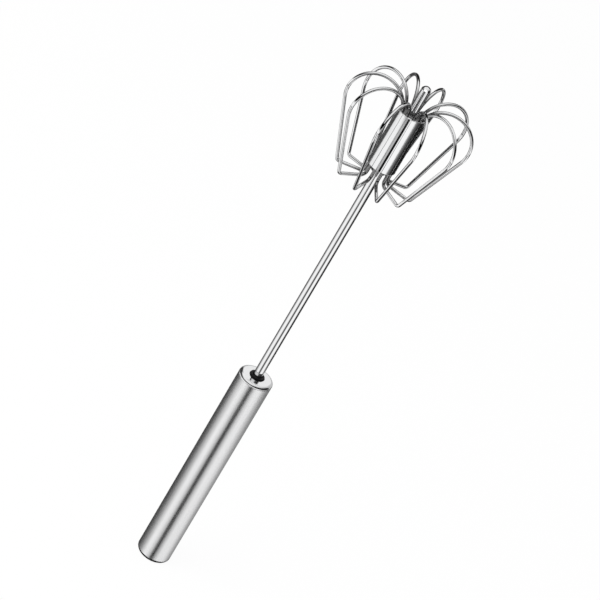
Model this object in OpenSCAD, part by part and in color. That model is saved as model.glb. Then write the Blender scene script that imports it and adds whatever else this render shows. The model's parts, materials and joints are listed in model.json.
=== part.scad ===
// Push-down whisk: pressing the handle slides the shaft in, and a twisted strip spins the wire head.
// The axis is +Z, the handle's flat butt stands on z = 0 and the head is at the top.

/* [Handle] */
// Length of the handle from the butt to the cap's face
handle_length = 124.5; // [110:0.5:150]
// Outside diameter of the handle tube
handle_diameter = 18.6; // [16.5:0.1:22]
// Wall of the handle tube
handle_wall = 0.8; // [0.6:0.1:1.2]
// Outside rounding of the closed butt
butt_round = 2.4; // [1.6:0.1:4]
// Thickness of the butt's flat floor
butt_floor = 1.0; // [0.6:0.1:1.5]

/* [Mouth cap] */
// Height of the cap's band above the tube
cap_band = 2.0; // [2:0.1:4]
// Rounding of the cap's outer edge
cap_round = 1.8; // [0.6:0.1:1.9]
// Thickness of the cap's face plate
cap_plate = 1.3; // [0.8:0.1:1.7]
// Length of the spigot inside the tube
cap_spigot = 6; // [4:0.5:10]
// Wall of the spigot
cap_spigot_wall = 0.8; // [0.5:0.1:1.2]
// Rounding of the edge around the bushing's hole
cap_hole_round = 0.35; // [0.2:0.05:0.5]

/* [Guide bushing] */
// Diameter of the bushing where it shows in the cap
bushing_diameter = 7.9; // [7.2:0.1:10]
// Length of the bushing below the cap's plate
bushing_length = 17; // [12:0.5:24]
// Thickness of the flange that holds the bushing under the plate
bushing_flange = 4; // [2:0.5:6]
// Diameter of the guide barrel inside the handle
bushing_barrel = 9.2; // [8:0.1:11]
// Height of the bushing's boss above the cap's face
bushing_stand = 0.8; // [0.4:0.1:1.5]
// Rounding of the boss's upper edge
bushing_round = 0.35; // [0.2:0.05:0.4]
// Width and depth of the funnel around the shaft
bushing_funnel = 0.25; // [0.2:0.05:0.4]

/* [Shaft] */
// Outside diameter of the shaft tube
shaft_diameter = 4.9; // [4.6:0.1:5.6]
// Wall of the shaft tube
shaft_wall = 0.45; // [0.3:0.05:0.5]
// Bare shaft between the cap's face and the ferrule
shaft_bare = 134.1; // [110:0.1:160]
// Diameter of the round tip
tip_diameter = 5.0; // [4.2:0.1:5.4]
// Height of the tip above the ferrule
tip_height = 15.6; // [8:0.1:20]
// Length of the tip's spigot inside the shaft
tip_spigot = 10; // [6:0.5:16]

/* [Ferrule and collars] */
// Outside diameter of the ferrule sleeve
ferrule_diameter = 14.7; // [13.4:0.1:16.5]
// Length of the ferrule sleeve
ferrule_length = 31.8; // [28:0.1:40]
// Wall of the ferrule sleeve
ferrule_wall = 0.6; // [0.4:0.05:0.8]
// Rounding of the ferrule's outer edges
ferrule_round = 0.4; // [0.2:0.05:0.4]
// Length of each fluted collar
collar_length = 9; // [6:0.5:11]
// Depth of each collar below the ferrule's edge
collar_recess = 1.6; // [0.8:0.1:2.5]

/* [Wire loops] */
// Diameter of the wire
wire_diameter = 1.7; // [1.2:0.05:2]
// Distance from the axis to the wire's widest point
loop_reach = 32.6; // [28:0.1:38]
// Depth of the top arc's centre below the ferrule's edge
crown_drop = 4.4; // [2:0.1:6]
// Bend radius where the wire leaves the ferrule's tip end
crown_bend = 3.8; // [3:0.1:6]
// Straight neck of wire below the ferrule
neck_drop = 4.0; // [2:0.1:7]
// Bend radius below the neck
neck_bend = 3.0; // [2:0.1:4]
// Slope of the lower leg towards the handle, in degrees
lower_slope = 8.2; // [0:0.1:15]
// Bend radius at the outer corner
corner_bend = 1.7; // [1.2:0.1:3]
// Lean of the long leg away from the axis, in degrees
leg_lean = 20.8; // [14:0.1:26]
// Length of wire held inside the ferrule at each end
wire_grip = 12; // [8:0.5:13]

/* [Drive] */
// Width of the twisted strip
strip_width = 3.2; // [2.6:0.1:3.4]
// Thickness of the twisted strip
strip_thickness = 1.1; // [0.8:0.1:1.4]
// Length of strip for one full turn
strip_lead = 24; // [18:1:40]
// Length of strip above the nut at rest
strip_overrun = 6; // [4:0.5:12]
// Length of the drive nut
nut_length = 9; // [7.5:0.5:12]
// Depth of the nut's socket for the shaft
nut_socket = 5; // [3:0.5:6]
// Length of the anchor plug in the butt
plug_length = 11; // [8:0.5:16]
// Height of the plug's boss inside the spring
boss_height = 4; // [2:0.5:8]
// Floor of the plug under the strip's tang
plug_floor = 2; // [1:0.5:3]
// Diameter of the anchor pin
pin_diameter = 1.5; // [1:0.1:1.8]

/* [Return spring] */
// Diameter of the spring between wire centres
spring_diameter = 11; // [9:0.1:12.5]
// Diameter of the spring's wire
spring_wire = 1; // [0.7:0.05:1.2]
// Number of curls
spring_curls = 20; // [12:1:24]
// Thickness of the spring's seat
seat_thickness = 1.2; // [0.8:0.1:2]

/* [Clearances] */
// Radial running clearance of the shaft in the bushing
run_clearance = 0.06; // [0.03:0.01:0.1]
// Radial clearance of the cap's spigot and the anchor plug in the handle tube
tube_clearance = 0.05; // [0.03:0.01:0.15]
// Radial clearance of the smaller pressed and seated pieces
seat_clearance = 0.02; // [0.01:0.01:0.04]
// Clearance all round the strip in the nut's slot
slot_clearance = 0.18; // [0.12:0.02:0.26]
// Gap between faces that meet at rest
face_gap = 0.05; // [0.02:0.01:0.15]
// Radial clearance of the drive nut in the handle tube
nut_clearance = 0.8; // [0.4:0.1:1.5]
// Radial clearance of the spring's seat in the handle tube
seat_slide = 0.7; // [0.3:0.1:1]
// Radial clearance of the plug's boss inside the spring
boss_clearance = 0.4; // [0.2:0.1:0.8]

/* [Hidden] */
$fn = 64;

// Colours as photographed
brushed = "#b9bbbd";
polished = "#d9dbdd";
black_plastic = "#161616";
pale_nylon = "#e4e0d4";

// Overlap of a cutting shape past the face that it cuts
cut = 1;
// Loops around the ferrule, and flutes in each collar
wire_count = 10;
// Height of one slice of the twisted strip, and straight edges around its outline
strip_slice = 0.8;
strip_segments = 12;
// Rings in one curl of the spring, and sides of its wire
rings_per_curl = 8;
spring_sides = 6;
// How much slimmer a lapped piece of wire is, and how far it runs into its neighbours
wire_relief = 0.004;
wire_lap = 0.05;

// Radii worked out from the diameters
handle_r = handle_diameter / 2;
tube_inner_r = handle_r - handle_wall;
seated_r = tube_inner_r - tube_clearance;
nut_r = tube_inner_r - nut_clearance;
seat_r = tube_inner_r - seat_slide;
shaft_r = shaft_diameter / 2;
shaft_inner_r = shaft_r - shaft_wall;
bushing_r = bushing_diameter / 2;
bushing_bore_r = shaft_r + run_clearance;
tip_r = tip_diameter / 2;
ferrule_r = ferrule_diameter / 2;
ferrule_inner_r = ferrule_r - ferrule_wall;
wire_r = wire_diameter / 2;
ring_r = ferrule_inner_r - wire_r - seat_clearance;
spring_r = spring_diameter / 2;
boss_r = spring_r - spring_wire / 2 - boss_clearance;

// Heights along the axis, from the butt up
plug_bottom = butt_floor;
plug_top = plug_bottom + plug_length;
boss_top = plug_top + boss_height;
tang_bottom = plug_bottom + plug_floor;
cap_face = handle_length;
tube_top = cap_face - cap_band;
plate_bottom = cap_face - cap_plate;
bushing_bottom = plate_bottom - bushing_length;
nut_top = bushing_bottom - face_gap;
nut_bottom = nut_top - nut_length;
socket_bottom = nut_top - nut_socket;
seat_top = nut_bottom - face_gap;
seat_bottom = seat_top - seat_thickness;
strip_top = nut_top + strip_overrun;
ferrule_bottom = cap_face + shaft_bare;
ferrule_top = ferrule_bottom + ferrule_length;
lower_collar_bottom = ferrule_bottom + collar_recess;
upper_collar_top = ferrule_top - collar_recess;
shaft_top = upper_collar_top - collar_length;
tip_top = ferrule_top + tip_height;

// The strip's angle about the axis grows with height, as a right-hand twist
function strip_angle(z) = 360 * (z - boss_top) / strip_lead;

// Wire loop, as a path of straight runs and arcs in the plane of radius and height.
// The top arc is tangent to the crown bend and reaches out to loop_reach.
crown_start = ferrule_top;
reach_left = loop_reach - ring_r - crown_bend;
top_arc = (pow(reach_left, 2) - pow(crown_bend, 2) + pow(crown_drop, 2)) / (2 * (reach_left - crown_bend));
crown_turn = asin(crown_drop / (top_arc - crown_bend));
top_centre = [loop_reach - top_arc, crown_start - crown_drop];
crown_centre = [ring_r + crown_bend, crown_start];
// The long leg is tangent to the top arc, and the lower leg is tangent to the neck's bend
leg_along = [sin(leg_lean), cos(leg_lean)];
leg_out = [cos(leg_lean), -sin(leg_lean)];
leg_top = top_centre + top_arc * leg_out;
neck_bottom = ferrule_bottom - neck_drop;
neck_centre = [ring_r + neck_bend, neck_bottom];
lower_along = [cos(lower_slope), -sin(lower_slope)];
lower_down = [-sin(lower_slope), -cos(lower_slope)];
lower_start = neck_centre + neck_bend * lower_down;
// The two legs meet in a corner with its own bend
function cross2(a, b) = a[0] * b[1] - a[1] * b[0];
lower_run = cross2(leg_top - lower_start, leg_along) / cross2(lower_along, leg_along);
corner_turn = 90 - leg_lean + lower_slope;
corner_trim = corner_bend * tan(corner_turn / 2);
corner_point = lower_start + lower_run * lower_along;
lower_end = corner_point - corner_trim * lower_along;
leg_start = corner_point + corner_trim * leg_along;
corner_centre = lower_end - corner_bend * lower_down;

// Return spring, as rings of points along a helix
spring_low = plug_top + face_gap + spring_wire / 2;
spring_high = seat_bottom - face_gap - spring_wire / 2;
spring_pitch = (spring_high - spring_low) / spring_curls;
spring_rings = spring_curls * rings_per_curl;
spring_slope = atan(spring_pitch / (2 * PI * spring_r));
function coil_centre(i) = let (turn = 360 * i / rings_per_curl)
    [spring_r * cos(turn), spring_r * sin(turn), spring_low + spring_pitch * i / rings_per_curl];
function coil_ring(i) = let (turn = 360 * i / rings_per_curl,
        outward = [cos(turn), sin(turn), 0],
        upward = [sin(turn) * sin(spring_slope), -cos(turn) * sin(spring_slope), cos(spring_slope)])
    [for (k = [0 : spring_sides - 1]) let (side = 360 * k / spring_sides)
        coil_centre(i) + spring_wire / 2 * (cos(side) * outward + sin(side) * upward)];
spring_gap = min([for (k = [-1 : 1]) norm(coil_centre(rings_per_curl + k) - coil_centre(0))]) - spring_wire;
echo(least_gap_between_curls = spring_gap);
echo(travel_until_the_curls_touch = spring_high - spring_low - spring_curls * spring_wire);

// A revolved solid from z = low to z = high, with its lower outer edge rounded
module round_bottom_profile(radius, low, high, rounding) {
    translate([0, low + rounding]) square([radius, high - low - rounding]);
    translate([0, low]) square([radius - rounding, high - low]);
    translate([radius - rounding, low + rounding]) circle(r = rounding);
}

// Drawn tube with a closed, rounded butt
module handle_tube() {
    inner_round = max(butt_round - handle_wall, 0.2);
    color(brushed)
    rotate_extrude()
    intersection() {
        square([handle_r + cut, tube_top]);
        difference() {
            round_bottom_profile(handle_r, 0, tube_top, butt_round);
            round_bottom_profile(tube_inner_r, butt_floor, tube_top + cut, inner_round);
        }
    }
}

// Face plate and band, with a spigot that is pressed into the tube
module mouth_cap() {
    spigot_inner_r = seated_r - cap_spigot_wall;
    hole_r = bushing_r + seat_clearance;
    rim = min(cap_round, cap_band - face_gap);
    color(polished)
    rotate_extrude()
    difference() {
        union() {
            translate([0, tube_top]) square([handle_r, cap_band - rim]);
            translate([0, tube_top]) square([handle_r - rim, cap_band]);
            intersection() {
                translate([handle_r - rim, cap_face - rim]) circle(r = rim);
                translate([0, tube_top]) square([handle_r, cap_band]);
            }
            translate([0, tube_top - cap_spigot]) square([seated_r, cap_spigot + cut / 2]);
        }
        translate([0, tube_top - cap_spigot - cut])
            square([spigot_inner_r, plate_bottom - tube_top + cap_spigot + cut]);
        translate([0, tube_top]) square([hole_r, cap_band + cut]);
        // Quarter-round edge of the hole
        difference() {
            translate([0, cap_face - cap_hole_round]) square([hole_r + cap_hole_round, cap_hole_round + cut]);
            translate([hole_r + cap_hole_round, cap_face - cap_hole_round]) circle(r = cap_hole_round);
        }
    }
}

// Flanged bushing, held under the cap's plate, with a round-edged boss that stands out of the cap's hole
module guide_bushing() {
    flange_r = seated_r - cap_spigot_wall - seat_clearance;
    flange_top = plate_bottom - face_gap;
    boss_face = cap_face + bushing_stand;
    color(black_plastic)
    rotate_extrude()
    difference() {
        union() {
            translate([0, bushing_bottom]) square([bushing_barrel / 2, flange_top - bushing_bottom]);
            translate([0, flange_top - bushing_flange]) square([flange_r, bushing_flange]);
            translate([0, flange_top - bushing_flange])
                square([bushing_r, boss_face - bushing_round - flange_top + bushing_flange]);
            translate([0, flange_top]) square([bushing_r - bushing_round, boss_face - flange_top]);
            translate([bushing_r - bushing_round, boss_face - bushing_round]) circle(r = bushing_round);
        }
        translate([0, bushing_bottom - cut]) square([bushing_bore_r, boss_face - bushing_bottom + 2 * cut]);
        polygon([[0, boss_face + cut], [0, boss_face - bushing_funnel],
            [bushing_bore_r, boss_face - bushing_funnel], [bushing_bore_r + bushing_funnel, boss_face],
            [bushing_bore_r + bushing_funnel, boss_face + cut]]);
    }
}

// Plug at the butt: a slot for the strip's tang, a boss inside the spring and a hole for the pin
module anchor_plug() {
    edge = butt_round;
    color(pale_nylon)
    difference() {
        union() {
            translate([0, 0, plug_bottom]) cylinder(r1 = seated_r - edge, r2 = seated_r, h = edge);
            translate([0, 0, plug_bottom + edge]) cylinder(r = seated_r, h = plug_length - edge);
            translate([0, 0, plug_bottom + edge]) cylinder(r = boss_r, h = boss_top - plug_bottom - edge);
        }
        translate([-strip_width / 2 - seat_clearance, -strip_thickness / 2 - seat_clearance, tang_bottom])
            cube([strip_width + 2 * seat_clearance, strip_thickness + 2 * seat_clearance, boss_top]);
        pin_shape(pin_diameter / 2 + seat_clearance, seated_r + cut);
    }
}

// Round bar across the axis, at the height of the anchor pin
module pin_shape(radius, half_length) {
    translate([0, 0, (tang_bottom + plug_top) / 2])
        rotate([90, 0, 0])
        cylinder(r = radius, h = 2 * half_length, center = true);
}

module anchor_pin() {
    color(brushed) pin_shape(pin_diameter / 2, seated_r - pin_diameter / 2);
}

// Straight tang in the plug, then the twisted run up through the nut
module twist_strip() {
    run = strip_top - boss_top;
    color(polished)
    difference() {
        union() {
            translate([-strip_width / 2, -strip_thickness / 2, tang_bottom])
                cube([strip_width, strip_thickness, boss_top - tang_bottom]);
            twisted_bar(strip_width, strip_thickness, boss_top, run);
        }
        pin_shape(pin_diameter / 2 + seat_clearance, strip_width);
    }
}

// Rectangular bar that turns with height as the strip does
module twisted_bar(width, thickness, low, run) {
    translate([0, 0, low])
        rotate(strip_angle(low))
        linear_extrude(height = run, twist = -360 * run / strip_lead, slices = ceil(run / strip_slice),
            segments = strip_segments)
        square([width, thickness], center = true);
}

module return_spring() {
    points = [for (i = [0 : spring_rings]) each coil_ring(i)];
    last = spring_rings * spring_sides;
    sides = [for (i = [0 : spring_rings - 1]) for (k = [0 : spring_sides - 1])
        let (a = i * spring_sides + k, b = i * spring_sides + (k + 1) % spring_sides)
        each [[a, a + spring_sides, b], [b, a + spring_sides, b + spring_sides]]];
    bottom = [for (k = [1 : spring_sides - 2]) [0, k, k + 1]];
    top = [for (k = [1 : spring_sides - 2]) [last, last + k + 1, last + k]];
    color(polished) polyhedron(points = points, faces = concat(sides, bottom, top));
}

// Thrust washer between the spring and the turning nut
module spring_seat() {
    hole_r = norm([strip_width, strip_thickness]) / 2 + 2 * slot_clearance;
    color(pale_nylon)
    translate([0, 0, seat_bottom])
    difference() {
        cylinder(r = seat_r, h = seat_thickness);
        translate([0, 0, -cut]) cylinder(r = hole_r, h = seat_thickness + 2 * cut);
    }
}

// Nut with a twisted slot below and a socket for the shaft above
module drive_nut() {
    slot_run = socket_bottom - nut_bottom + 2 * cut;
    color(pale_nylon)
    difference() {
        translate([0, 0, nut_bottom]) cylinder(r = nut_r, h = nut_length);
        translate([0, 0, socket_bottom]) cylinder(r = shaft_r + seat_clearance, h = nut_socket + cut);
        twisted_bar(strip_width + 2 * slot_clearance, strip_thickness + 2 * slot_clearance,
            nut_bottom - cut, slot_run);
    }
}

module shaft_tube() {
    color(polished)
    difference() {
        translate([0, 0, socket_bottom + face_gap]) cylinder(r = shaft_r, h = shaft_top - socket_bottom - face_gap);
        translate([0, 0, socket_bottom - cut]) cylinder(r = shaft_inner_r, h = shaft_top - socket_bottom + 2 * cut);
    }
}

// Round-ended plug that closes the shaft
module tip_plug() {
    dome_base = tip_top - tip_r;
    color(polished)
    rotate_extrude() {
        translate([0, shaft_top + face_gap]) square([tip_r, dome_base - shaft_top - face_gap]);
        translate([0, shaft_top - tip_spigot]) square([shaft_inner_r - seat_clearance, tip_spigot + cut]);
        intersection() {
            translate([0, dome_base]) circle(r = tip_r);
            translate([0, shaft_top]) square([tip_r + cut, tip_top]);
        }
    }
}

// Sleeve that clamps the wires on the collars
module ferrule_sleeve() {
    color(polished)
    rotate_extrude()
    difference() {
        union() {
            translate([0, ferrule_bottom + ferrule_round]) square([ferrule_r, ferrule_length - 2 * ferrule_round]);
            translate([0, ferrule_bottom]) square([ferrule_r - ferrule_round, ferrule_length]);
            for (z = [ferrule_bottom + ferrule_round, ferrule_top - ferrule_round])
                translate([ferrule_r - ferrule_round, z]) circle(r = ferrule_round);
        }
        translate([0, ferrule_bottom - cut]) square([ferrule_inner_r, ferrule_length + 2 * cut]);
    }
}

// Collar with a flute for each wire
module fluted_collar(bore_r, low) {
    flute_r = wire_r + seat_clearance;
    color(black_plastic)
    translate([0, 0, low])
    linear_extrude(height = collar_length)
    difference() {
        circle(r = ferrule_inner_r - seat_clearance);
        circle(r = bore_r + seat_clearance);
        for (i = [0 : wire_count - 1])
            rotate(i * 360 / wire_count) {
                translate([ring_r, 0]) circle(r = flute_r);
                translate([ring_r, -flute_r]) square([wire_diameter + cut, 2 * flute_r]);
            }
    }
}

module lower_collar() {
    fluted_collar(shaft_r, lower_collar_bottom);
}

module upper_collar() {
    fluted_collar(tip_r, upper_collar_top - collar_length);
}

// Straight run of wire between two points of radius and height.
// A lapped piece is a hair slimmer and a little longer, so that its ends sit inside its neighbours.
module wire_run(from, to, lapped = false) {
    along = to - from;
    lap = lapped ? wire_lap : 0;
    translate([from[0], 0, from[1]])
        rotate([0, atan2(along[0], along[1]), 0])
        translate([0, 0, -lap])
        cylinder(r = lapped ? wire_r - wire_relief : wire_r, h = norm(along) + 2 * lap);
}

// Bend of wire about a centre, from one angle in the plane of radius and height through a turn
module wire_bend(centre, bend_r, from, turn, lapped = false) {
    lap = lapped ? wire_lap / bend_r * 180 / PI : 0;
    translate([centre[0], 0, centre[1]])
        rotate([90, 0, 0])
        rotate([0, 0, from - lap])
        rotate_extrude(angle = turn + 2 * lap)
        translate([bend_r, 0]) circle(r = lapped ? wire_r - wire_relief : wire_r);
}

// One bent loop, with both ends held in the ferrule
module whisk_wire(i) {
    crown_end = ferrule_top - wire_grip;
    neck_end = ferrule_bottom + wire_grip;
    color(polished)
    rotate(i * 360 / wire_count) {
        wire_run([ring_r, crown_end], [ring_r, crown_start]);
        wire_bend(crown_centre, crown_bend, 180 - crown_turn, crown_turn, true);
        wire_bend(top_centre, top_arc, -leg_lean, 180 + leg_lean - crown_turn);
        wire_run(leg_start, leg_top, true);
        wire_bend(corner_centre, corner_bend, -90 - lower_slope, corner_turn);
        wire_run(lower_start, lower_end, true);
        wire_bend(neck_centre, neck_bend, 180, 90 - lower_slope);
        wire_run([ring_r, neck_bottom], [ring_r, neck_end], true);
    }
}

handle_tube();
mouth_cap();
guide_bushing();
anchor_plug();
anchor_pin();
twist_strip();
return_spring();
spring_seat();
drive_nut();
shaft_tube();
tip_plug();
ferrule_sleeve();
lower_collar();
upper_collar();
whisk_wire(0);  // whisk_wire_01
whisk_wire(1);  // whisk_wire_02
whisk_wire(2);  // whisk_wire_03
whisk_wire(3);  // whisk_wire_04
whisk_wire(4);  // whisk_wire_05
whisk_wire(5);  // whisk_wire_06
whisk_wire(6);  // whisk_wire_07
whisk_wire(7);  // whisk_wire_08
whisk_wire(8);  // whisk_wire_09
whisk_wire(9);  // whisk_wire_10
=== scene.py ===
import json
from math import asin, cos, pi, radians, sin, tan

import bmesh
import bpy
from bmesh.types import BMEdge, BMFace, BMVert
from mathutils import Matrix, Vector


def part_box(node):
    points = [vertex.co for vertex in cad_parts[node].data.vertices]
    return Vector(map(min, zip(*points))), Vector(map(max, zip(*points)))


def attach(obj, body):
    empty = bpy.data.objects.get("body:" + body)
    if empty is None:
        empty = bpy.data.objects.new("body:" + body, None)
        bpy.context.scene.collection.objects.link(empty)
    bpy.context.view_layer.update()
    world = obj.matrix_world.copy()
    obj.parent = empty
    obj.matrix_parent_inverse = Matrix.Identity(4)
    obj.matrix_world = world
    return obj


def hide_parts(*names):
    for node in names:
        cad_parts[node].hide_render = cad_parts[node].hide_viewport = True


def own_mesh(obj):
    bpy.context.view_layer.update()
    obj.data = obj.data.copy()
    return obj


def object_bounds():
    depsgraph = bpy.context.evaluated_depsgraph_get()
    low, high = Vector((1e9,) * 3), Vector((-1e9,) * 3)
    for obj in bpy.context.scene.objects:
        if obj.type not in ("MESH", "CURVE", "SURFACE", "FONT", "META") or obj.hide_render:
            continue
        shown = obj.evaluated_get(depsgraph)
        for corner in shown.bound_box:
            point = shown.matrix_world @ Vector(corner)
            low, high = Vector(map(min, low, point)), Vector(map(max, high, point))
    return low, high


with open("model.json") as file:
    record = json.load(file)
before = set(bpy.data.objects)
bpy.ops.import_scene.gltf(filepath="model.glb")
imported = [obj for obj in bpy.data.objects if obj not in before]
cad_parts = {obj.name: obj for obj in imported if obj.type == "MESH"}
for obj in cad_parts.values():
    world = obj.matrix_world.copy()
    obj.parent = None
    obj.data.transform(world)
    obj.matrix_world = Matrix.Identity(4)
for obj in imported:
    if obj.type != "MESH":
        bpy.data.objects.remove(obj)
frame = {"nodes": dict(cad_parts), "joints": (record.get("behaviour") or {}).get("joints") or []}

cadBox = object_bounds()
mm = 0.001
nodes = frame["nodes"]
print("frame loaded,", len(nodes), "nodes")


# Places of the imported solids

def topOf(node):
    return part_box(node)[1].z


def bottomOf(node):
    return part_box(node)[0].z


def radiusOf(node):
    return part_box(node)[1].x


# Shader maths: a wrapped socket takes part in Python sums, and each operator adds a Math node

class Wire:
    def __init__(self, tree, socket):
        self.tree = tree
        self.socket = socket

    def maths(self, operation, first, second):
        return self.tree.add("ShaderNodeMath", {"operation": operation}, {0: first, 1: second})

    def __add__(self, other):
        return self.maths("ADD", self, other)

    def __radd__(self, other):
        return self.maths("ADD", other, self)

    def __sub__(self, other):
        return self.maths("SUBTRACT", self, other)

    def __rsub__(self, other):
        return self.maths("SUBTRACT", other, self)

    def __mul__(self, other):
        return self.maths("MULTIPLY", self, other)

    def __rmul__(self, other):
        return self.maths("MULTIPLY", other, self)

    def __truediv__(self, other):
        return self.maths("DIVIDE", self, other)

    def __rtruediv__(self, other):
        return self.maths("DIVIDE", other, self)


def grey(level):
    return (level, level, level, 1)


class NodeTree:
    def __init__(self, owner):
        owner.use_nodes = True
        self.nodes = owner.node_tree.nodes
        self.links = owner.node_tree.links
        self.nodes.clear()

    # Any node: its type, its settings, and the values or links of its sockets
    def add(self, kind, settings=None, sockets=None, output=0):
        node = self.nodes.new(kind)
        for name, value in (settings or {}).items():
            if name == "stops":
                self.setStops(node.color_ramp, value)
            else:
                setattr(node, name, value)
        for name, value in (sockets or {}).items():
            if isinstance(value, Wire):
                self.links.new(value.socket, node.inputs[name])
            else:
                node.inputs[name].default_value = value
        return Wire(self, node.outputs[output]) if node.outputs else None

    # Ramp stops are (place, grey level)
    def setStops(self, ramp, stops):
        while len(ramp.elements) < len(stops):
            ramp.elements.new(1)
        for element, (place, level) in zip(ramp.elements, stops):
            element.position = place
            element.color = grey(level)

    # A Mix node's colours are its sockets 6 and 7, and the mixed colour is its output 2
    def mixColour(self, factor, first, second):
        return self.add("ShaderNodeMix", {"data_type": "RGBA"}, {0: factor, 6: first, 7: second}, 2)

    def noise(self, place, stretch, scale, character):
        stretched = self.add("ShaderNodeMapping", {}, {"Vector": place, "Scale": stretch})
        return self.add("ShaderNodeTexNoise", {}, {"Vector": stretched, "Scale": scale, **character})

    def ramped(self, value, start, end, low=0, high=1, course="LINEAR"):
        sockets = {"Value": value, "From Min": start, "From Max": end, "To Min": low, "To Max": high}
        return self.add("ShaderNodeMapRange", {"interpolation_type": course}, sockets)

    def bump(self, height, look):
        sockets = {"Height": height, "Strength": look["bump"], "Distance": look["bumpDepth"]}
        return self.add("ShaderNodeBump", {}, sockets)

    def objectPlace(self):
        return self.add("ShaderNodeTexCoord", {}, {}, "Object")

    def finish(self, surface):
        self.add("ShaderNodeOutputMaterial", {}, {"Surface": surface})


def newMaterial(name):
    material = bpy.data.materials.new(name)
    return material, NodeTree(material)


fineNoise = {"Detail": 5, "Roughness": 0.6}
softNoise = {"Detail": 3, "Roughness": 0.55}
noiseMiddle = 0.5
cloudStretch = 0.5  # clouds in the metal are drawn out along the axis


# Metal with a fine grain, drawn out along the axis by a stretch below 1, and a little uneven tone
def steelMaterial(name, look):
    material, tree = newMaterial(name)
    place = tree.objectPlace()
    grain = tree.noise(place, (1, 1, look["grainStretch"]), look["grainScale"], fineNoise)
    cloud = tree.noise(place, (1, 1, cloudStretch), look["cloudScale"], softNoise)
    mottle = grain * look["grainShare"] + cloud * (1 - look["grainShare"])
    uneven = (mottle - noiseMiddle) * look["contrast"] + noiseMiddle
    tone = tree.mixColour(uneven, (*look["dark"], 1), (*look["light"], 1))
    gloss = tree.ramped(uneven, 0, 1, *look["roughness"])
    # Painted shade: the tone darkens towards the axis, where the wires come out of the ferrule
    if "paintedShade" in look:
        paintedShade = look["paintedShade"]
        flat = tree.add("ShaderNodeMapping", {}, {"Vector": place, "Scale": (1, 1, 0)})
        reach = tree.add("ShaderNodeVectorMath", {"operation": "LENGTH"}, {0: flat}, "Value")
        ragged = reach + (cloud - noiseMiddle) * paintedShade["ragged"]
        near = tree.ramped(ragged, paintedShade["unshaded"], paintedShade["full"])
        tone = tree.mixColour(near, tone, (*paintedShade["tone"], 1))
    if "worn" in look:
        worn = look["worn"]
        height = tree.add("ShaderNodeSeparateXYZ", {}, {0: place}, "Z")
        gloss = gloss + tree.ramped(height, worn["start"], worn["full"], 0, worn["roughness"])
    sockets = {"Base Color": tone, "Metallic": 1, "Roughness": gloss, "Normal": tree.bump(grain, look)}
    tree.finish(tree.add("ShaderNodeBsdfPrincipled", {}, sockets))
    return material


# Moulded plastic with a faint mottle and a fine skin
def plasticMaterial(name, look):
    material, tree = newMaterial(name)
    place = tree.objectPlace()
    skin = tree.noise(place, (1, 1, 1), look["skinScale"], softNoise)
    cloud = tree.noise(place, (1, 1, 1), look["cloudScale"], softNoise)
    tone = tree.mixColour(cloud, (*look["dark"], 1), (*look["light"], 1))
    gloss = tree.ramped(skin, 0, 1, *look["roughness"])
    sockets = {"Base Color": tone, "Roughness": gloss, "Normal": tree.bump(skin, look)}
    sockets["Specular IOR Level"] = look["shine"]
    tree.finish(tree.add("ShaderNodeBsdfPrincipled", {}, sockets))
    return material


brushedLook = {
    "dark": (0.78, 0.78, 0.785), "light": (0.9, 0.9, 0.905), "roughness": (0.17, 0.22),
    "grainScale": 2600, "grainStretch": 0.02, "cloudScale": 60, "bump": 0.006, "bumpDepth": 0.02 * mm,
    "grainShare": 0.8, "contrast": 2.5,
}
polishedLook = {
    "dark": (0.88, 0.885, 0.89), "light": (0.95, 0.95, 0.955), "roughness": (0.03, 0.07),
    "grainScale": 900, "grainStretch": 0.05, "cloudScale": 120, "bump": 0.03, "bumpDepth": 0.005 * mm,
    "grainShare": 0.4, "contrast": 1.5,
}
satinLook = {
    "dark": (0.86, 0.865, 0.87), "light": (0.94, 0.94, 0.945), "roughness": (0.11, 0.16),
    "grainScale": 900, "grainStretch": 1, "cloudScale": 120, "bump": 0.03, "bumpDepth": 0.005 * mm,
    "grainShare": 0.4, "contrast": 1.5,
}
# The wires are darker where the ferrule clamps them: painted shade and painted reflection of the dark crown,
# by distance from the axis
wireLook = {
    "dark": (0.84, 0.845, 0.85), "light": (0.94, 0.94, 0.945), "roughness": (0.03, 0.06),
    "grainScale": 1500, "grainStretch": 0.2, "cloudScale": 200, "bump": 0.03, "bumpDepth": 0.005 * mm,
    "grainShare": 0.4, "contrast": 1.5,
    "paintedShade": {"full": 7.5 * mm, "unshaded": 12.5 * mm, "ragged": 2 * mm, "tone": (0.3, 0.3, 0.3)},
}
# The tip's dome is duller than the shaft
tipLook = {
    **polishedLook,
    "worn": {"start": topOf("tip_plug") - 2.8 * mm, "full": topOf("tip_plug") - 1.8 * mm, "roughness": 0.04},
}
springLook = {
    "dark": (0.5, 0.5, 0.5), "light": (0.66, 0.66, 0.65), "roughness": (0.2, 0.35),
    "grainScale": 1500, "grainStretch": 0.3, "cloudScale": 150, "bump": 0.1, "bumpDepth": 0.01 * mm,
    "grainShare": 0.5, "contrast": 2,
}
blackLook = {
    "dark": (0.003, 0.003, 0.0033), "light": (0.008, 0.008, 0.0085), "roughness": (0.36, 0.48),
    "skinScale": 4000, "cloudScale": 500, "bump": 0.1, "bumpDepth": 0.02 * mm, "shine": 0.13,
}
collarLook = {
    "dark": (0.1, 0.1, 0.1), "light": (0.3, 0.3, 0.3), "roughness": (0.4, 0.6),
    "skinScale": 3000, "cloudScale": 900, "bump": 0.15, "bumpDepth": 0.03 * mm, "shine": 0.4,
}
nylonLook = {
    "dark": (0.68, 0.65, 0.57), "light": (0.78, 0.75, 0.67), "roughness": (0.4, 0.55),
    "skinScale": 2500, "cloudScale": 250, "bump": 0.1, "bumpDepth": 0.02 * mm, "shine": 0.5,
}
brushedSteel = steelMaterial("brushedSteel", brushedLook)
polishedSteel = steelMaterial("polishedSteel", polishedLook)
satinSteel = steelMaterial("satinSteel", satinLook)
wireSteel = steelMaterial("wireSteel", wireLook)
springSteel = steelMaterial("springSteel", springLook)
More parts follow.
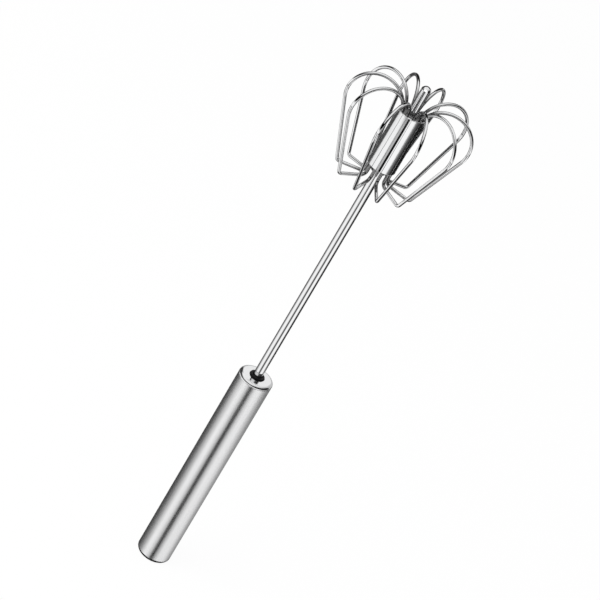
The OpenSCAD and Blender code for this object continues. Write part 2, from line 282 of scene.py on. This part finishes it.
blackPlastic = plasticMaterial("blackPlastic", blackLook)
greyPlastic = plasticMaterial("greyPlastic", collarLook)
paleNylon = plasticMaterial("paleNylon", nylonLook)
tipSteel = steelMaterial("tipSteel", tipLook)
print("materials made")


# Meshes

weldDistance = 0.0005 * mm
sharpAngle = radians(50)


def only(kind, geom):
    return [item for item in geom if isinstance(item, kind)]


# An outline of (radius, height, corner rounding) turned about the axis, as on a lathe
def turned(outline, sides, cornerSteps=8, closed=True):
    bm = bmesh.new()
    corners = [bm.verts.new((radius, 0, height)) for radius, height, rounding in outline]
    following = corners[1:] + corners[:1] if closed else corners[1:]
    for pair in zip(corners, following):
        bm.edges.new(pair)
    for corner, (radius, height, rounding) in zip(corners, outline):
        if rounding:
            bmesh.ops.bevel(bm, geom=[corner], offset=rounding, segments=cornerSteps, profile=0.5,
                affect="VERTICES", material=-1, clamp_overlap=False)
    bmesh.ops.spin(bm, geom=bm.verts[:] + bm.edges[:], cent=(0, 0, 0), axis=(0, 0, 1), angle=2 * pi,
        steps=sides, use_merge=True)
    return tidied(bm)


def tidied(bm):
    bmesh.ops.remove_doubles(bm, verts=bm.verts[:], dist=weldDistance)
    bmesh.ops.recalc_face_normals(bm, faces=bm.faces[:])
    return bm


def placed(name, bm, material, slot, body, *replaced):
    for face in bm.faces:
        face.smooth = True
    mesh = bpy.data.meshes.new(name)
    bm.to_mesh(mesh)
    bm.free()
    mesh.set_sharp_from_angle(angle=sharpAngle)
    mesh.materials.append(material)
    piece = bpy.data.objects.new(name, mesh)
    bpy.context.scene.collection.objects.link(piece)
    modifier = piece.modifiers.new("evenShading", "WEIGHTED_NORMAL")
    modifier.keep_sharp = True
    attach(piece, body)
    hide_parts(*replaced)
    return piece


# Handle: a drawn tube with a rounded butt
handle = {
    "radius": radiusOf("handle_tube"), "top": topOf("handle_tube"), "wall": 0.8 * mm, "floor": 1.0 * mm,
    "buttRound": 2.4 * mm, "mouthRound": 0.12 * mm, "innerRound": 1.6 * mm, "sides": 160, "cornerSteps": 12,
}


def makeHandle(part):
    inner = part["radius"] - part["wall"]
    outline = [
        (0, 0, 0),
        (part["radius"], 0, part["buttRound"]),
        (part["radius"], part["top"], part["mouthRound"]),
        (inner, part["top"], part["mouthRound"]),
        (inner, part["floor"], part["innerRound"]),
        (0, part["floor"], 0),
    ]
    bm = turned(outline, part["sides"], part["cornerSteps"], closed=False)
    placed("handleShell", bm, brushedSteel, "brushed_steel", "handle", "handle_tube")


# Cap: a satin ring with a rounded rim and a spigot in the tube
cap = {
    "face": topOf("mouth_cap"), "rim": 1.8 * mm, "seamRound": 0.12 * mm, "plate": 1.3 * mm, "sides": 160,
    "hole": 3.97 * mm, "holeRound": 0.35 * mm, "spigot": 8.45 * mm, "spigotWall": 0.8 * mm,
}


def makeCap(part):
    seam = handle["top"]
    low = bottomOf("mouth_cap")
    bore = part["spigot"] - part["spigotWall"]
    plateLow = part["face"] - part["plate"]
    outline = [
        (part["hole"], part["face"], part["holeRound"]),
        (handle["radius"], part["face"], part["rim"]),
        (handle["radius"], seam, part["seamRound"]),
        (part["spigot"], seam, 0),
        (part["spigot"], low, 0),
        (bore, low, 0),
        (bore, plateLow, 0),
        (part["hole"], plateLow, 0),
    ]
    bm = turned(outline, part["sides"])
    placed("mouthRing", bm, satinSteel, "polished_steel", "handle", "mouth_cap")


# Bushing: black, flanged under the cap, with a round-edged boss and a lip around the shaft
bushing = {
    "radius": 3.95 * mm, "face": topOf("guide_bushing"), "edge": 0.2 * mm, "bossRound": 0.35 * mm,
    "bore": 2.51 * mm, "funnel": 0.25 * mm, "lip": 0.06 * mm, "flange": 4 * mm,
    "flangeRadius": radiusOf("guide_bushing"), "plateGap": 0.05 * mm, "barrel": 4.6 * mm, "sides": 96,
}


def makeBushing(part):
    low = bottomOf("guide_bushing")
    flangeTop = cap["face"] - cap["plate"] - part["plateGap"]
    flangeLow = flangeTop - part["flange"]
    outline = [
        (part["bore"], low, 0),
        (part["barrel"], low, part["edge"]),
        (part["barrel"], flangeLow, 0),
        (part["flangeRadius"], flangeLow, part["edge"]),
        (part["flangeRadius"], flangeTop, part["edge"]),
        (part["radius"], flangeTop, 0),
        (part["radius"], part["face"], part["bossRound"]),
        (part["bore"] + part["funnel"], part["face"], part["lip"]),
        (part["bore"], part["face"] - part["funnel"], part["lip"]),
    ]
    bm = turned(outline, part["sides"])
    placed("guideBush", bm, blackPlastic, "black_plastic", "handle", "guide_bushing")


makeHandle(handle)
makeCap(cap)
makeBushing(bushing)
print("handle, cap and bushing made")


# Shaft: a polished tube
shaft = {"radius": radiusOf("shaft_tube"), "wall": 0.45 * mm, "edge": 0.1 * mm, "sides": 64}


def makeShaft(part):
    low, high = bottomOf("shaft_tube"), topOf("shaft_tube")
    inner = part["radius"] - part["wall"]
    outline = [
        (part["radius"], low, part["edge"]),
        (part["radius"], high, part["edge"]),
        (inner, high, part["edge"]),
        (inner, low, part["edge"]),
    ]
    bm = turned(outline, part["sides"])
    placed("shaftTube", bm, polishedSteel, "polished_steel", "whisk", "shaft_tube")


# Tip: a round-ended plug on the shaft
tip = {
    "radius": radiusOf("tip_plug"), "spigot": 1.98 * mm, "shoulderGap": 0.05 * mm, "domeHeight": 1.9 * mm,
    "domeEdge": 0.15 * mm, "edge": 0.1 * mm, "sides": 64, "cornerSteps": 16,
}


# The dome is a little flatter than a ball: two rounded corners whose sides touch it
def makeTip(part):
    low, top, radius = bottomOf("tip_plug"), topOf("tip_plug"), part["radius"]
    shoulder = topOf("shaft_tube") + part["shoulderGap"]
    ball = (radius ** 2 + part["domeHeight"] ** 2) / (2 * part["domeHeight"])
    quarter = asin(radius / ball) / 4
    side = ball * tan(quarter)
    corner = ball / cos(quarter)
    outline = [
        (0, top, 0),
        (side, top, side),
        (corner * sin(3 * quarter), top - ball + corner * cos(3 * quarter), side),
        (radius, top - part["domeHeight"], part["domeEdge"]),
        (radius, shoulder, part["edge"]),
        (part["spigot"], shoulder, 0),
        (part["spigot"], low, part["edge"]),
        (0, low, 0),
    ]
    bm = turned(outline, part["sides"], part["cornerSteps"], closed=False)
    placed("shaftTip", bm, tipSteel, "polished_steel", "whisk", "tip_plug")


# Ferrule: a polished sleeve that clamps the wires
ferrule = {
    "radius": radiusOf("ferrule_sleeve"), "low": bottomOf("ferrule_sleeve"), "high": topOf("ferrule_sleeve"),
    "wall": 0.6 * mm, "edge": 0.38 * mm, "innerEdge": 0.15 * mm, "sides": 128,
}


def makeFerrule(part):
    inner = part["radius"] - part["wall"]
    outline = [
        (part["radius"], part["low"], part["edge"]),
        (part["radius"], part["high"], part["edge"]),
        (inner, part["high"], part["innerEdge"]),
        (inner, part["low"], part["innerEdge"]),
    ]
    bm = turned(outline, part["sides"])
    placed("ferruleSleeve", bm, polishedSteel, "polished_steel", "whisk", "ferrule_sleeve")


makeShaft(shaft)
makeTip(tip)
makeFerrule(ferrule)
print("shaft, tip and ferrule made")


# Ten bent loops: a turtle walks the wire in the plane of radius and height
loop = {
    "count": 10, "wire": 0.85 * mm, "ring": 5.88 * mm, "reach": 32.6 * mm, "crownDrop": 4.4 * mm,
    "crownBend": 3.8 * mm, "neckDrop": 4.0 * mm, "neckBend": 3.0 * mm, "slope": radians(8.2),
    "cornerBend": 1.7 * mm, "lean": radians(20.8), "grip": 12 * mm,
    "sides": 28, "arcSteps": 90, "bendSteps": 20,
}


# The runs and bends of one loop, from the end held under the crown round to the end held at the neck
def loopWalk(part):
    ring, crownBend, drop = part["ring"], part["crownBend"], part["crownDrop"]
    lean, slope = part["lean"], part["slope"]
    left = part["reach"] - ring - crownBend
    topArc = (left ** 2 - crownBend ** 2 + drop ** 2) / (2 * (left - crownBend))
    crownTurn = asin(drop / (topArc - crownBend))
    topCentre = Vector((part["reach"] - topArc, ferrule["high"] - drop))
    legDown = Vector((-sin(lean), -cos(lean)))
    legTop = topCentre + topArc * Vector((cos(lean), -sin(lean)))
    neckCentre = Vector((ring + part["neckBend"], ferrule["low"] - part["neckDrop"]))
    lowerOut = Vector((cos(slope), -sin(slope)))
    lowerStart = neckCentre + part["neckBend"] * Vector((-sin(slope), -cos(slope)))
    gap = lowerStart - legTop
    crossed = legDown.x * lowerOut.y - legDown.y * lowerOut.x
    legLength = (gap.x * lowerOut.y - gap.y * lowerOut.x) / crossed
    lowerLength = (gap.x * legDown.y - gap.y * legDown.x) / crossed
    cornerTurn = pi / 2 - lean + slope
    trim = part["cornerBend"] * tan(cornerTurn / 2)
    return [
        ("run", part["grip"]),
        ("bend", crownBend, crownTurn, part["bendSteps"]),
        ("bend", topArc, pi + lean - crownTurn, part["arcSteps"]),
        ("run", legLength - trim),
        ("bend", part["cornerBend"], cornerTurn, part["bendSteps"]),
        ("run", lowerLength - trim),
        ("bend", part["neckBend"], pi / 2 - slope, part["bendSteps"]),
        ("run", part["neckDrop"] + part["grip"]),
    ]


def makeLoop(part, number):
    bm = bmesh.new()
    place = Vector((part["ring"], 0, ferrule["high"] - part["grip"]))
    heading = Vector((0, 0, 1))
    bmesh.ops.create_circle(bm, segments=part["sides"], radius=part["wire"], cap_ends=True,
        matrix=Matrix.Translation(place))
    ends = bm.verts[:] + bm.edges[:]
    for kind, *sizes in loopWalk(part):
        if kind == "run":
            stride = heading * sizes[0]
            drawn = bmesh.ops.extrude_edge_only(bm, edges=only(BMEdge, ends))["geom"]
            moved = only(BMVert, drawn)
            ends = moved + [edge for edge in only(BMEdge, drawn) if set(edge.verts) <= set(moved)]
            bmesh.ops.translate(bm, verts=moved, vec=stride)
            place += stride
        else:
            radius, turn, steps = sizes
            centre = place + radius * Vector((heading.z, 0, -heading.x))
            swept = bmesh.ops.spin(bm, geom=ends, cent=centre, axis=(0, 1, 0), angle=turn, steps=steps)
            ends = swept["geom_last"]
            around = Matrix.Rotation(turn, 3, "Y")
            place = centre + around @ (place - centre)
            heading = around @ heading
    bmesh.ops.holes_fill(bm, edges=only(BMEdge, ends))
    spread = Matrix.Rotation(2 * pi * (number - 1) / part["count"], 3, "Z")
    bmesh.ops.rotate(bm, verts=bm.verts[:], cent=(0, 0, 0), matrix=spread)
    node = f"whisk_wire_{number:02d}"
    placed(f"wireLoop{number:02d}", tidied(bm), wireSteel, "wire_steel", "whisk", node)


for number in range(1, loop["count"] + 1):
    makeLoop(loop, number)
print("wire loops made")


# Collars: dark grey rings inside both ends of the ferrule, with a flute for each wire
collar = {"clearance": 0.02 * mm, "edge": 0.3 * mm, "fluteSteps": 16, "landSteps": 6, "boreSides": 64}


# The outline around one flute and along the rim to the next, turned into all ten and filled up to the bore
def makeCollar(part, name, node, bore):
    low = bottomOf(node) + part["edge"]
    height = topOf(node) - bottomOf(node) - 2 * part["edge"]
    rim = ferrule["radius"] - ferrule["wall"] - part["clearance"]
    flute = loop["wire"] + part["clearance"]
    half = asin(flute / rim)
    share = 2 * pi / loop["count"]
    upright = {"axis": (0, 0, 1)}
    bm = bmesh.new()
    mouth = bm.verts.new((rim * cos(half), -flute, low))
    bend = bm.verts.new((loop["ring"], -flute, low))
    bm.edges.new((mouth, bend))
    hollow = bmesh.ops.spin(bm, geom=[bend], cent=(loop["ring"], 0, low), angle=-pi,
        steps=part["fluteSteps"], **upright)
    land = bm.verts.new((rim * cos(half), flute, low))
    bm.edges.new((hollow["geom_last"][0], land))
    bmesh.ops.spin(bm, geom=[land], cent=(0, 0, low), angle=share - 2 * half,
        steps=part["landSteps"], **upright)
    sector = bm.verts[:] + bm.edges[:]
    bmesh.ops.spin(bm, geom=sector, cent=(0, 0, low), angle=2 * pi - share,
        steps=loop["count"] - 1, use_duplicate=True, **upright)
    bmesh.ops.remove_doubles(bm, verts=bm.verts[:], dist=weldDistance)
    bmesh.ops.create_circle(bm, segments=part["boreSides"], radius=bore + part["clearance"],
        matrix=Matrix.Translation((0, 0, low)))
    filled = bmesh.ops.triangle_fill(bm, edges=bm.edges[:], use_beauty=True)["geom"]
    underside = only(BMFace, filled)
    raised = bmesh.ops.extrude_face_region(bm, geom=underside, use_keep_orig=True)["geom"]
    bmesh.ops.translate(bm, verts=only(BMVert, raised), vec=(0, 0, height))
    bmesh.ops.recalc_face_normals(bm, faces=bm.faces[:])
    for faces in (underside, only(BMFace, raised)):
        bmesh.ops.inset_region(bm, faces=faces, thickness=part["edge"], depth=part["edge"],
            use_even_offset=True)
    placed(name, tidied(bm), greyPlastic, "black_plastic", "whisk", node)


makeCollar(collar, "neckCollar", "lower_collar", shaft["radius"])
makeCollar(collar, "crownCollar", "upper_collar", tip["radius"])
print("collars made")


# Return spring: round wire wound up the axis
spring = {"radius": 5.5 * mm, "wire": 0.5 * mm, "curls": 20, "sides": 12, "stepsPerCurl": 36}


def makeSpring(part):
    low, high = bottomOf("return_spring"), topOf("return_spring")
    rise = (high - low - 2 * part["wire"]) / part["curls"]
    lean = rise / (2 * pi * part["radius"])
    bm = bmesh.new()
    start = Matrix.Translation((part["radius"], 0, low + part["wire"]))
    start = start @ Matrix.Rotation(pi / 2 + lean, 4, "X")
    bmesh.ops.create_circle(bm, segments=part["sides"], radius=part["wire"], cap_ends=True, matrix=start)
    wound = bmesh.ops.spin(bm, geom=bm.verts[:] + bm.edges[:], cent=(0, 0, 0), axis=(0, 0, 1),
        dvec=(0, 0, rise / part["stepsPerCurl"]), angle=2 * pi * part["curls"],
        steps=part["curls"] * part["stepsPerCurl"])
    bmesh.ops.holes_fill(bm, edges=only(BMEdge, wound["geom_last"]))
    piece = placed("returnSpring", tidied(bm), springSteel, "spring_steel", "handle", "return_spring")
    travel = next(j["range_m"][1] for j in frame["joints"] if j["name"] == "plunge")
    1 - travel / (high - low)
    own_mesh(piece)


makeSpring(spring)
print("spring wound")


# Inner pieces keep their solids and get their finish
finishes = {
    "anchor_plug": paleNylon, "anchor_pin": springSteel, "twist_strip": springSteel,
    "spring_seat": paleNylon, "drive_nut": paleNylon,
}
for name, material in finishes.items():
    slots = nodes[name].data.materials
    slots.clear()
    slots.append(material)
print("inner pieces finished")


# Camera, fitted to the photograph's view
camera = {
    "lens": 150, "elevation": radians(28.3), "azimuth": radians(-1.7), "roll": radians(30.6),
    "depth": 1.182, "ferrulePixel": (396.8, 140.0), "imageSize": 600, "sensor": 36,
}


def makeCamera(part):
    data = bpy.data.cameras.new("camera")
    data.lens = part["lens"]
    data.sensor_width = part["sensor"]
    viewer = bpy.data.objects.new("camera", data)
    turn = Matrix.Rotation(part["azimuth"], 4, "Z") @ Matrix.Rotation(pi / 2 - part["elevation"], 4, "X")
    turn = turn @ Matrix.Rotation(part["roll"], 4, "Z")
    focal = part["lens"] / part["sensor"] * part["imageSize"]
    across = (part["ferrulePixel"][0] - part["imageSize"] / 2) / focal * part["depth"]
    up = (part["imageSize"] / 2 - part["ferrulePixel"][1]) / focal * part["depth"]
    target = Vector((0, 0, (ferrule["low"] + ferrule["high"]) / 2))
    offset = turn.to_3x3() @ Vector((across, up, -part["depth"]))
    viewer.matrix_world = Matrix.Translation(target - offset) @ turn
    bpy.context.scene.collection.objects.link(viewer)
    bpy.context.scene.camera = viewer


# Floor: white to the camera, with the object's shadow kept faint
floorLook = {"size": 8, "tone": 0.95, "ownLight": 0.95}


def makeFloor(look):
    bm = bmesh.new()
    bmesh.ops.create_grid(bm, x_segments=1, y_segments=1, size=look["size"] / 2)
    bmesh.ops.translate(bm, verts=bm.verts[:], vec=(0, 0, cadBox[0][2]))
    mesh = bpy.data.meshes.new("floor")
    bm.to_mesh(mesh)
    bm.free()
    material, tree = newMaterial("paleFloor")
    seen = tree.add("ShaderNodeLightPath", {}, {}, "Is Camera Ray")
    matt = tree.add("ShaderNodeBsdfDiffuse", {}, {"Color": grey(look["tone"])})
    glow = tree.add("ShaderNodeEmission", {}, {"Color": grey(1), "Strength": 1})
    tree.finish(tree.add("ShaderNodeMixShader", {}, {0: seen * look["ownLight"], 1: matt, 2: glow}))
    material.cycles.emission_sampling = "NONE"
    mesh.materials.append(material)
    floor = bpy.data.objects.new("floor", mesh)
    floor.visible_glossy = False
    bpy.context.scene.collection.objects.link(floor)


# Black cards that only the metal sees: a backdrop close behind the head, and the shadow under the butt
flag = {"width": 0.12, "low": 0.3, "high": 0.4, "behind": 0.075}
contact = {"overhang": 2 * mm, "drop": 0.02 * mm, "sides": 64}
cardTone = 0.01


def blackCard(name, bm):
    mesh = bpy.data.meshes.new(name)
    bm.to_mesh(mesh)
    bm.free()
    material, tree = newMaterial(name)
    tree.finish(tree.add("ShaderNodeBsdfDiffuse", {}, {"Color": grey(cardTone)}))
    mesh.materials.append(material)
    card = bpy.data.objects.new(name, mesh)
    for sight in ("visible_camera", "visible_diffuse", "visible_shadow", "visible_transmission"):
        setattr(card, sight, False)
    bpy.context.scene.collection.objects.link(card)


def makeFlag(part):
    bm = bmesh.new()
    bmesh.ops.create_grid(bm, x_segments=1, y_segments=1, size=0.5)
    height = part["high"] - part["low"]
    bmesh.ops.scale(bm, verts=bm.verts[:], vec=(part["width"], height, 1))
    bmesh.ops.rotate(bm, verts=bm.verts[:], cent=(0, 0, 0), matrix=Matrix.Rotation(pi / 2, 3, "X"))
    bmesh.ops.translate(bm, verts=bm.verts[:], vec=(0, part["behind"], part["low"] + height / 2))
    blackCard("flag", bm)


def makeContact(part):
    bm = bmesh.new()
    place = Matrix.Translation((0, 0, cadBox[0][2] - part["drop"]))
    radius = handle["radius"] + part["overhang"]
    bmesh.ops.create_circle(bm, segments=part["sides"], radius=radius, cap_ends=True, matrix=place)
    blackCard("contact", bm)


# Studio: what the metal mirrors, as rings of cards around the object. A ring takes over between two heights
# of the mirrored direction, from -1 below to 1 above, and its cards are (degrees from the camera, level)
studio = {
    "fill": 0.6,
    "rings": [
        ((-1, -1), [(-180, 0.5), (180, 0.5)]),
        ((-0.98, -0.97), [(-180, 0.04), (180, 0.04)]),
        ((-0.88, -0.84), [
            (-180, 0.05), (-125, 0.05), (-105, 0.9), (-8, 0.9), (8, 0.03), (112, 0.03), (130, 0.35),
            (180, 0.1),
        ]),
        ((-0.66, -0.62), [
            (-180, 0.05), (-130, 0.08), (-100, 0.18), (-86, 0.3), (-77, 0.42), (-62, 0.76), (-48, 1),
            (-36, 1), (-22, 0.78), (-9, 0.5), (-3, 0.03), (12, 0.03), (20, 0.35), (30, 0.62), (46, 1),
            (84, 1), (100, 0.84), (118, 0.5), (138, 0.35), (180, 0.25),
        ]),
        ((-0.508, -0.498), [
            (-180, 0.1), (-125, 0.1), (-100, 0.3), (-78, 0.9), (-50, 1), (-26, 0.9), (-14, 0.4), (-8, 0.08),
            (11, 0.08), (20, 0.6), (30, 1), (70, 1), (85, 0.2), (95, 0.02), (180, 0.02),
        ]),
        ((-0.44, -0.425), [
            (-180, 0.06), (-101, 0.08), (-97, 0.85), (-30, 1), (-26, 0.5), (-6, 0.5), (-4, 0), (10.5, 0),
            (13, 1), (54, 1), (70, 0.15), (95, 0.01), (180, 0.01),
        ]),
        ((-0.3975, -0.3955), [
            (-180, 0.02), (-92, 0.02), (-80, 0.9), (-44, 1), (-38, 0), (5, 0), (11, 1), (46, 1), (62, 0.03),
            (180, 0.02),
        ]),
        ((-0.36, -0.3), [
            (-180, 0.1), (-145, 0.1), (-125, 0.35), (-112, 1), (60, 1), (80, 0.6), (118, 0.5), (132, 0.2),
            (150, 0.1), (180, 0.1),
        ]),
        ((-0.26, -0.14), [
            (-180, 0.3), (-165, 0.3), (-155, 0.1), (-145, 0.1), (-125, 0.35), (-112, 1), (-15, 1), (8, 0.4),
            (60, 0.35), (85, 0.15), (114, 0.15), (124, 0.6), (148, 0.6), (160, 0.3), (180, 0.3),
        ]),
        ((-0.1, -0.03), [
            (-180, 0.5), (-165, 0.5), (-155, 0.04), (-115, 0.03), (-95, 0.06), (-80, 0.3), (-20, 0.3),
            (0, 0.05), (8, 0), (114, 0), (124, 0.6), (148, 0.6), (160, 0.6), (180, 0.5),
        ]),
        ((-0.02, 0.05), [
            (-180, 0.5), (-165, 0.5), (-155, 0.04), (-115, 0.03), (-95, 0.06), (-80, 0), (114, 0), (124, 0.5),
            (148, 0.6), (160, 0.6), (180, 0.5),
        ]),
        ((0.36, 0.44), [
            (-180, 0.9), (-172, 0.9), (-166, 0.04), (-115, 0.04), (-95, 0.2), (-70, 0.7), (-10, 0.7),
            (8, 0.3), (20, 0.04), (112, 0.02), (122, 0.5), (150, 0.6), (160, 0.6), (172, 0.9), (180, 0.9),
        ]),
        ((0.56, 0.7), [
            (-180, 0.95), (-60, 0.95), (10, 0.85), (40, 0.6), (110, 0.5), (150, 0.8), (180, 0.95),
        ]),
        ((0.75, 0.93), [(-180, 0.85), (180, 0.85)]),
    ],
}


def makeStudio(look):
    world = bpy.data.worlds.new("studio")
    bpy.context.scene.world = world
    tree = NodeTree(world)
    way = tree.add("ShaderNodeTexCoord", {}, {}, "Generated")
    split = tree.add("ShaderNodeSeparateXYZ", {}, {0: way}).socket.node
    x, y, z = (Wire(tree, output) for output in split.outputs)
    angle = tree.add("ShaderNodeMath", {"operation": "ARCTAN2"}, {0: x, 1: 0 - y})
    turn = angle / (2 * pi) + 0.5  # 0 to 1 around the object, 0.5 at the camera's side
    room = None
    for (low, high), cards in look["rings"]:
        stops = [(degrees / 360 + 0.5, level) for degrees, level in cards]
        ring = tree.add("ShaderNodeValToRGB", {"stops": stops}, {0: turn})
        if room:
            past = tree.ramped(z, low, high, course="SMOOTHSTEP")
            ring = tree.mixColour(past, room, ring)
        room = ring
    path = tree.add("ShaderNodeLightPath").socket.node
    glossy = Wire(tree, path.outputs["Is Glossy Ray"])
    seen = Wire(tree, path.outputs["Is Camera Ray"])
    light = tree.mixColour(glossy, grey(look["fill"]), room)
    light = tree.mixColour(seen, light, grey(1))
    surface = tree.add("ShaderNodeBackground", {}, {"Color": light, "Strength": 1})
    tree.add("ShaderNodeOutputWorld", {}, {"Surface": surface})
    world.cycles.sampling_method = "NONE"


# One wide softbox above and to the left
softbox = {"size": 1.2, "place": (-0.9, -0.7, 1.6), "aim": (0, 0, 0.15), "power": 24}


def makeSoftbox(look):
    data = bpy.data.lights.new("softbox", "AREA")
    data.shape = "SQUARE"
    data.size = look["size"]
    data.energy = look["power"]
    lamp = bpy.data.objects.new("softbox", data)
    lamp.location = look["place"]
    aim = Vector(look["aim"]) - Vector(look["place"])
    lamp.rotation_euler = aim.to_track_quat("-Z", "Y").to_euler()
    lamp.visible_glossy = False
    bpy.context.scene.collection.objects.link(lamp)


# A small white lamp in front of the tip, which only the metal sees
tipLamp = {"width": 9 * mm, "height": 5.5 * mm, "ahead": 6 * mm, "below": 0.2 * mm, "level": 1}
powerPerArea = 4  # a lamp shows the level of its power over four times its area


def makeTipLamp(look):
    data = bpy.data.lights.new("tipLamp", "AREA")
    data.shape = "RECTANGLE"
    data.size, data.size_y = look["width"], look["height"]
    data.energy = powerPerArea * look["width"] * look["height"] * look["level"]
    lamp = bpy.data.objects.new("tipLamp", data)
    lamp.location = (0, -look["ahead"], topOf("tip_plug") - look["below"])
    lamp.rotation_euler = (pi / 2, 0, 0)
    lamp.visible_camera = False
    lamp.visible_diffuse = False
    bpy.context.scene.collection.objects.link(lamp)


makeCamera(camera)
makeFloor(floorLook)
makeFlag(flag)
makeContact(contact)
makeStudio(studio)
makeSoftbox(softbox)
makeTipLamp(tipLamp)
bpy.context.scene.view_settings.view_transform = "Standard"
print("camera, floor and light set")
